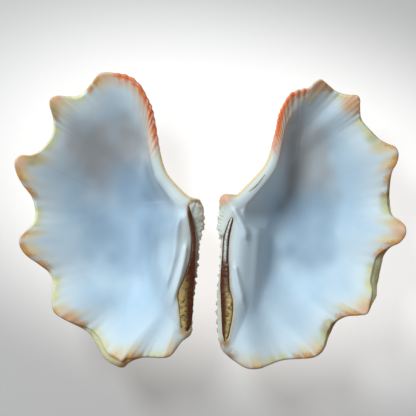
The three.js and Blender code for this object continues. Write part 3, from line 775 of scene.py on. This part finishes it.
class Paint:
    """Writes a node material: every method adds a node and gives its output."""

    def __init__(self, name):
        self.material = bpy.data.materials.new(name)
        self.material.use_nodes = True
        self.tree = self.material.node_tree
        self.shader = self.tree.nodes["Principled BSDF"]
        self.place = self.tree.nodes.new("ShaderNodeTexCoord").outputs["Object"]

    def put(self, socket, value):
        if isinstance(value, bpy.types.NodeSocket):
            self.tree.links.new(value, socket)
        elif socket.type == "RGBA":
            socket.default_value = (*value, 1)
        else:
            socket.default_value = value

    def add(self, kind, inputs, output, **settings):
        """Adds a node with values or links on its inputs, and gives one of its outputs."""
        node = self.tree.nodes.new("ShaderNode" + kind)
        for name, value in settings.items():
            setattr(node, name, value)
        for name, value in inputs.items():
            self.put(node.inputs[name], value)
        return node.outputs[output]

    def maths(self, operation, a, b):
        return self.add("Math", {0: a, 1: b}, 0, operation=operation)

    def sum(self, a, b):
        return self.maths("ADD", a, b)

    def times(self, *values):
        total = values[0]
        for value in values[1:]:
            total = self.maths("MULTIPLY", total, value)
        return total

    def ramp(self, value, low, high, start=0, end=1):
        """From start to end, smoothly, while the value goes from low to high."""
        if low > high:
            low, high, start, end = high, low, end, start
        return self.add("MapRange", {
            "Value": value, "From Min": low, "From Max": high, "To Min": start, "To Max": end,
        }, "Result", interpolation_type="SMOOTHSTEP")

    def attribute(self, name):
        return self.add("Attribute", {}, "Fac", attribute_name=name)

    def noise(self, size, detail=2, distortion=0):
        """Noise from about 0.2 to 0.8, with lumps of a size in millimetres."""
        return self.add("TexNoise", {
            "Vector": self.place, "Scale": 1 / (size * MM), "Detail": detail,
            "Distortion": distortion,
        }, "Fac")

    def mix(self, factor, a, b):
        return self.add("Mix", {"Factor": factor, "A": a, "B": b}, "Result", data_type="RGBA")

    def coat(self, amount, colour):
        """Lays a colour over what is painted so far."""
        self.colour = self.mix(amount, self.colour, colour)

    def finish(self, name, value):
        self.put(self.shader.inputs[name], value)

    def bump(self, height, depth):
        """Fine relief, with its depth in millimetres."""
        self.finish("Normal", self.add("Bump", {"Distance": depth * MM, "Height": height}, 0))


def shell_material(colours):
    paint = Paint("clam_shell")
    read, ramp, times, coat = paint.attribute, paint.ramp, paint.times, paint.coat
    rim = read("rim_distance")
    fold = read("fold")
    flank = read("flank")
    outside = read("outside")
    growth = read("growth")
    margin = read("margin")
    plate = read("plate")
    hinge_side = read("hinge_side")
    down_ligament = read("down_ligament")
    clouds = paint.noise(26)
    blotches = paint.noise(7, 3)
    grain = paint.noise(1.6, 3)
    wavy_rim = paint.sum(rim, times(paint.sum(blotches, -0.5), 5))
    ragged_rim = paint.sum(rim, times(paint.sum(grain, -0.5), 4))
    plain = times(ramp(margin, 0.5, 0), ramp(plate, 0.6, 0))
    tongue = ramp(fold, -0.1, 0.8)
    # lower: the tongues and, most of all, their lower flanks, which turn from the light; the orange
    # laid there is partly their own colour and partly painted shade. upper: the valleys and upper
    # flanks.
    lower = paint.sum(times(fold, 0.5), times(flank, 0.8))
    lower = times(ramp(lower, 0.05, 0.75), plain)
    upper = paint.sum(times(fold, -0.5), times(flank, -0.6))
    upper = times(ramp(upper, 0, 0.6), plain)

    # Inside: porcelain with cool clouds, cream towards the rim, tan tips, yellow valleys.
    paint.colour = colours.porcelain
    coat(times(ramp(clouds, 0.3, 0.7, 0.6, 1), ramp(rim, 5, 24)), colours.lavender)
    # Painted shade: dull grey in the deep part under the byssal side, blue grey in the hollow's
    # middle.
    coat(times(read("shade"), ramp(clouds, 0.2, 0.7, 0.6, 0.8)), colours.shade)
    coat(times(read("blue_shade"), 0.95), colours.blue_shade)
    coat(times(ramp(wavy_rim, 11, 2), 0.6), colours.cream)
    coat(times(ramp(wavy_rim, 13, 2), tongue, plain, 0.95), colours.tip)
    coat(times(ramp(ragged_rim, 6, 0.8), upper, 0.9), colours.valley)

    # The orange line at the rim, which on the tongues' lower flanks widens into painted shade,
    # white pleats, and the red teeth of the byssal margin.
    coat(times(ramp(ragged_rim, 5, 0.4), lower, 0.95), colours.rim)
    coat(times(ramp(ragged_rim, 2.6, 0.2), tongue, plain, 0.7), colours.rim)
    pleats = times(ramp(read("riblet"), 0.6, 1), ramp(wavy_rim, 12, 5), plain, 0.45)
    coat(pleats, colours.porcelain)
    coat(times(ramp(wavy_rim, 11, 2), margin, 0.7), colours.peach)
    wave = ramp(read("margin_wave"), -0.3, 0.4)
    streak = paint.maths("MAXIMUM", wave, ramp(rim, 3, 1.2))
    worn = ramp(blotches, 0.3, 0.5, 0.55, 1)
    coat(times(ramp(wavy_rim, 4.5, 1.5), margin, streak, worn), colours.byssal)

    # The thin tan edge of the shelves, and the stain beside the ligament.
    edge_line = times(ramp(rim, 1.2, 0.5), ramp(plate, 0.3, 0.9))
    coat(times(edge_line, ramp(hinge_side, 0.3, 0), ramp(margin, 0.4, 0)), colours.tip)
    beside = paint.sum(read("beside_ligament"), times(blotches, 3))
    stain = times(ramp(beside, 5, 1), ramp(down_ligament, 0.15, 0.7, 0.35, 1), 0.8)
    coat(stain, paint.mix(ramp(down_ligament, 0.45, 0.7), colours.stain, colours.fibre))
    inside = paint.colour

    # Outside: chalky, yellow and orange near the margin, olive crust under the growth steps; the
    # orange brown on the tongues' lower flanks is partly their own colour and partly painted shade.
    paint.colour = colours.outside
    coat(times(ramp(growth, 0.8, 0.97), ramp(plate, 0.6, 0)), colours.lip)
    old = ramp(growth, 0.99, 0.88)
    coat(times(read("riblet"), ramp(blotches, 0.3, 0.7), old, 0.35), colours.crust)
    hollow = times(ramp(read("step"), 0.35, 0), ramp(blotches, 0.35, 0.65))
    coat(times(hollow, old, 0.8), colours.crust)
    coat(times(ramp(grain, 0.55, 0.8, 0, 0.35), old), colours.crust)
    golden = times(hinge_side, ramp(down_ligament, 0.45, 0.8))
    coat(times(golden, ramp(blotches, 0.3, 0.6, 0.3, 0.9)), colours.fibre)
    coat(times(ramp(growth, 0.86, 0.98), lower, 0.75), colours.lower_rim_and_shade)

    # Over both: the marks and the crack. The olive marks, and the brown ones in the right valve's
    # eastern valleys, are painted shade of flanks that turn from the light.
    paint.colour = paint.mix(ramp(outside, 0.1, 0.6), inside, paint.colour)
    near_rim = ramp(rim, 9, 4)
    coat(times(read("peach"), 0.9), colours.peach)
    # Painted shade in olive on flanks near the rim that turn from the light.
    coat(times(read("olive_shade"), ramp(blotches, 0.3, 0.6, 0.6, 1), near_rim, 0.75), colours.olive_shade)
    # Brown stains at the beak and hinge; in the right valve's eastern valleys the brown is painted
    # shade.
    coat(times(read("brown"), ramp(blotches, 0.3, 0.5), near_rim, 0.85), colours.stain)
    coat(times(read("crack"), ramp(grain, 0.3, 0.5, 0.4, 0.9)), colours.stain)
    paint.finish("Base Color", paint.colour)
    paint.finish("Roughness", ramp(outside, 0.1, 0.7, 0.5, 0.8))
    paint.finish("Specular IOR Level", 0.35)
    paint.bump(times(grain, ramp(outside, 0.1, 0.7, 0.06, 1)), 0.5)
    return paint.material


def ligament_material(colours):
    paint = Paint("dried_ligament")
    read, ramp, times, coat = paint.attribute, paint.ramp, paint.times, paint.coat
    fibre = paint.noise(3.2, 4, 1)
    grain = paint.noise(0.9, 3)
    paint.colour = colours.ligament
    coat(ramp(fibre, 0.5, 0.8, 0, 0.45), colours.stain)
    coat(times(read("torn"), ramp(fibre, 0.28, 0.55)), colours.fibre)
    coat(times(read("chalk"), ramp(grain, 0.3, 0.5)), colours.cream)
    paint.finish("Base Color", paint.colour)
    paint.finish("Roughness", ramp(grain, 0.3, 0.7, 0.18, 0.5))
    paint.bump(paint.sum(grain, fibre), 0.25)
    return paint.material


# ---- Ligament ----

def ligament_piece(data, material, ground):
    """A dried strap in the groove: flat below, its torn crown rough."""
    rows = np.array(data["ligament"], float)
    rows = open_curve(rows, np.linspace(0, len(rows) - 1.001, LIGAMENT_STEPS))
    ahead = np.gradient(rows[:, :2], axis=0)
    ahead /= np.hypot(*ahead.T)[:, None]
    turn = np.linspace(0, 2 * math.pi, LIGAMENT_SIDES, endpoint=False)
    along = np.linspace(0, 1, LIGAMENT_STEPS)
    ends = np.minimum(1, np.minimum(along, 1 - along) * 14 + 0.12) ** 0.5
    half = ((0.5 * rows[:, 2] + LIGAMENT_SPREAD) * ends)[:, None]
    offset = half * np.cos(turn)
    rise = np.where(np.sin(turn) > 0, LIGAMENT_CROWN, GROOVE_DEPTH - FIT_GAP) * np.sin(turn)
    side = data["side"]
    x = side * (data["beak"] + rows[:, :1] + ahead[:, 1:] * offset)
    y = BEAK_ALONG + rows[:, 1:2] - ahead[:, :1] * offset
    base = ground(x, y)
    flat = np.stack([x, y, np.zeros(x.shape)], -1)
    rough = lumps(flat, size=1.5, seed=11) + 0.6 * lumps(flat, size=4, seed=12) - 0.8
    crown = np.clip(np.sin(turn), 0, 1)
    z = base + rise * ends[:, None] + 0.5 * rough * crown
    points = np.stack([x, y, z], -1)
    vertices = np.vstack([points[0].mean(0)[None], points.reshape(-1, 3),
                          points[-1].mean(0)[None]])
    quads, caps = skin_faces(LIGAMENT_SIDES, LIGAMENT_STEPS)
    piece = make_mesh(f"{data['name']}_ligament_dried", vertices * MM, quads, caps, side < 0)
    across = np.broadcast_to(np.cos(turn), x.shape)
    torn = smooth(0.45, 0.7, along)[:, None] * smooth(0.4, -0.5, across)
    chalk = smooth(0.42, 0.3, along)[:, None] * smooth(0.6, 0.3, np.abs(across)) * crown
    give(piece.data, "torn", np.pad(torn.ravel(), 1))
    give(piece.data, "chalk", np.pad(chalk.ravel(), 1) * (side > 0))
    piece.data.materials.append(material)
    return piece


def hinge_surface(shell):
    """Heights of a shell's hinge plate, as it would be without its ligament groove."""
    mesh = shell.data
    count = len(mesh.vertices)
    groove, plate, outside = np.zeros((3, count), np.float32)
    for name, values in (("groove", groove), ("plate", plate), ("outside", outside)):
        mesh.attributes[name].data.foreach_get("value", values)
    points = np.zeros(3 * count, np.float32)
    mesh.vertices.foreach_get("co", points)
    points = points.reshape(-1, 3) / MM
    points[:, 2] += groove
    points = points[(plate > 0.5) & (outside < 0.1)]

    def height_at(x, y):
        low = np.array([x.min(), y.min()]) - NEARBY
        high = np.array([x.max(), y.max()]) + NEARBY
        near = points[((points[:, :2] > low) & (points[:, :2] < high)).all(1)]
        away = (x.reshape(-1, 1) - near[:, 0]) ** 2 + (y.reshape(-1, 1) - near[:, 1]) ** 2
        weight = np.exp(-away / PLATE_GRAIN ** 2) + TINY
        return ((weight @ near[:, 2]) / weight.sum(1)).reshape(x.shape)

    return height_at


# ---- Operators ----

class CLAMSHELL_OT_valves(bpy.types.Operator):
    """Models both valves with their folds, hinge teeth, scales and growth lines"""
    bl_idname = "clamshell.valves"
    bl_label = "Build Valves"

    def execute(self, context):
        material = shell_material(context.scene.clam_colours)
        for data in (LEFT_VALVE, RIGHT_VALVE):
            piece = valve_piece(data, context.scene.clam_sizes, material)
            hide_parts(f"{data['name']}_valve")
            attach(piece, "root")
        return {"FINISHED"}


class CLAMSHELL_OT_ligaments(bpy.types.Operator):
    """Lays the dried ligament in the groove of each hinge"""
    bl_idname = "clamshell.ligaments"
    bl_label = "Build Ligaments"

    def execute(self, context):
        material = ligament_material(context.scene.clam_colours)
        for data in (LEFT_VALVE, RIGHT_VALVE):
            node = f"{data['name']}_ligament"
            shell = bpy.data.objects[f"{data['name']}_shell"]
            piece = ligament_piece(data, material, hinge_surface(shell))
            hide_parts(node)
            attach(piece, "root")
        return {"FINISHED"}


class CLAMSHELL_OT_stage(bpy.types.Operator):
    """Sets the pale floor, the soft light and the camera above"""
    bl_idname = "clamshell.stage"
    bl_label = "Build Stage"

    def execute(self, context):
        stage = context.scene.clam_stage
        low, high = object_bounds()
        middle = (low + high) / 2

        bpy.ops.mesh.primitive_plane_add(size=FLOOR_SIZE, location=(middle.x, middle.y, 0))
        floor = context.object
        floor.name = "floor"
        paint = Paint("pale_floor")
        spot = paint.add("Mapping", {
            "Vector": paint.place, "Location": GLOW_MIDDLE, "Rotation": (0, 0, GLOW_TURN),
            "Scale": (GLOW_STRETCH, 1, 1),
        }, "Vector", vector_type="TEXTURE")
        far = paint.add("VectorMath", {0: spot}, "Value", operation="LENGTH")
        glow = paint.ramp(far, *GLOW_REACH, stage.floor_glow, DIM_GLOW)
        paint.finish("Base Color", stage.floor)
        paint.finish("Roughness", 0.9)
        paint.finish("Emission Color", (1, 1, 1))
        paint.finish("Emission Strength", glow)
        floor.data.materials.append(paint.material)
        floor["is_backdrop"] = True

        key = bpy.data.lights.new("key", "AREA")
        key.shape = "DISK"
        key.size = KEY_SIZE
        key.energy = stage.key_power
        key.color = stage.key_colour
        light = bpy.data.objects.new("key", key)
        light.location = middle + Vector(KEY_PLACE)
        light.rotation_euler = (middle - light.location).to_track_quat("-Z", "Y").to_euler()
        context.scene.collection.objects.link(light)

        world = bpy.data.worlds.new("studio")
        world.use_nodes = True
        world.node_tree.nodes["Background"].inputs["Color"].default_value = (*stage.fill, 1)
        context.scene.world = world

        lens = bpy.data.cameras.new("camera")
        lens.lens = lens.sensor_width * stage.camera_height / stage.picture_width
        camera = bpy.data.objects.new("camera", lens)
        camera.location = (*CAMERA_PLACE, high.z - RIMS_BELOW_TOP + stage.camera_height)
        context.scene.collection.objects.link(camera)
        context.scene.camera = camera
        context.scene.view_settings.view_transform = "Standard"
        return {"FINISHED"}


class CLAMSHELL_PT_panel(bpy.types.Panel):
    """Lists the steps that build the shell"""
    bl_idname = "CLAMSHELL_PT_panel"
    bl_label = "Giant Clam Shell"
    bl_space_type = "VIEW_3D"
    bl_region_type = "UI"
    bl_category = "Clam Shell"

    def draw(self, context):
        layout = self.layout
        for settings in (context.scene.clam_sizes, context.scene.clam_colours,
                         context.scene.clam_stage):
            box = layout.box()
            for name in settings.__annotations__:
                box.prop(settings, name)
        for operator in STEPS:
            layout.operator(operator.bl_idname)


STEPS = (CLAMSHELL_OT_valves, CLAMSHELL_OT_ligaments, CLAMSHELL_OT_stage)
SETTINGS = {
    "clam_sizes": ClamShellSizes,
    "clam_colours": ClamShellColours,
    "clam_stage": ClamShellStage,
}


def register():
    for name, group in SETTINGS.items():
        bpy.utils.register_class(group)
        setattr(bpy.types.Scene, name, PointerProperty(type=group))
    for operator in STEPS:
        bpy.utils.register_class(operator)
    bpy.utils.register_class(CLAMSHELL_PT_panel)


def unregister():
    bpy.utils.unregister_class(CLAMSHELL_PT_panel)
    for operator in reversed(STEPS):
        bpy.utils.unregister_class(operator)
    for name, group in SETTINGS.items():
        delattr(bpy.types.Scene, name)
        bpy.utils.unregister_class(group)


def main():
    register()
    bpy.ops.clamshell.valves()
    bpy.ops.clamshell.ligaments()
    bpy.ops.clamshell.stage()


if __name__ == "__main__":
    main()
